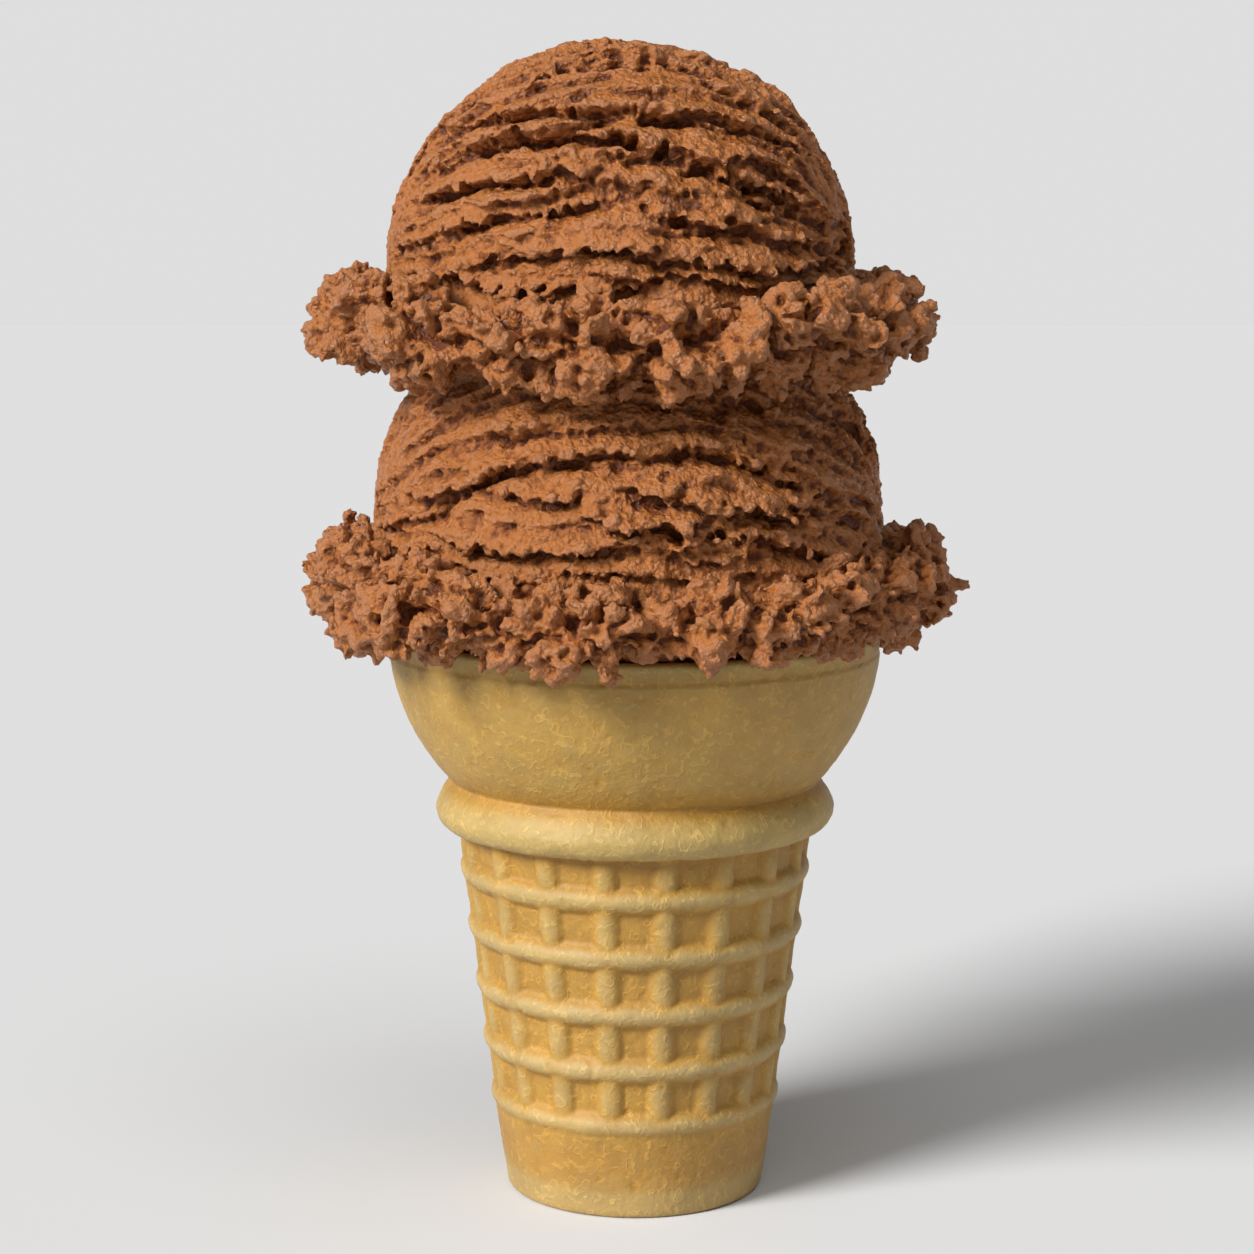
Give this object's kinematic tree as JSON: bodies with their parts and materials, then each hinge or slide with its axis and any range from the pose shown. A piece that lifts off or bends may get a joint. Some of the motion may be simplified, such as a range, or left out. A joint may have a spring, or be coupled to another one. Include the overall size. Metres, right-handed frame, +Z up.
{
  "type": "ice cream cone",
  "caption": "Flat-bottomed wafer cup with a moulded grid stem, bead and bowl, holding two stacked scoops of chocolate ice cream with crumbly collars.",
  "frame": {"origin": "middle of the wafer cup's flat foot, on the surface that it stands on", "axes": "+Z up the cup's axis, towards the scoops; the front, which the scraped layers face, is -Y, and the layers run along X"},
  "size_m": [0.083, 0.0821, 0.1462],
  "materials": {
    "wafer": "satin",
    "chocolate_ice_cream": "satin"
  },
  "bodies": {
    "root": {"wafer_cup": "wafer", "lower_scoop": "chocolate_ice_cream", "upper_scoop": "chocolate_ice_cream"}
  },
  "joints": []
}
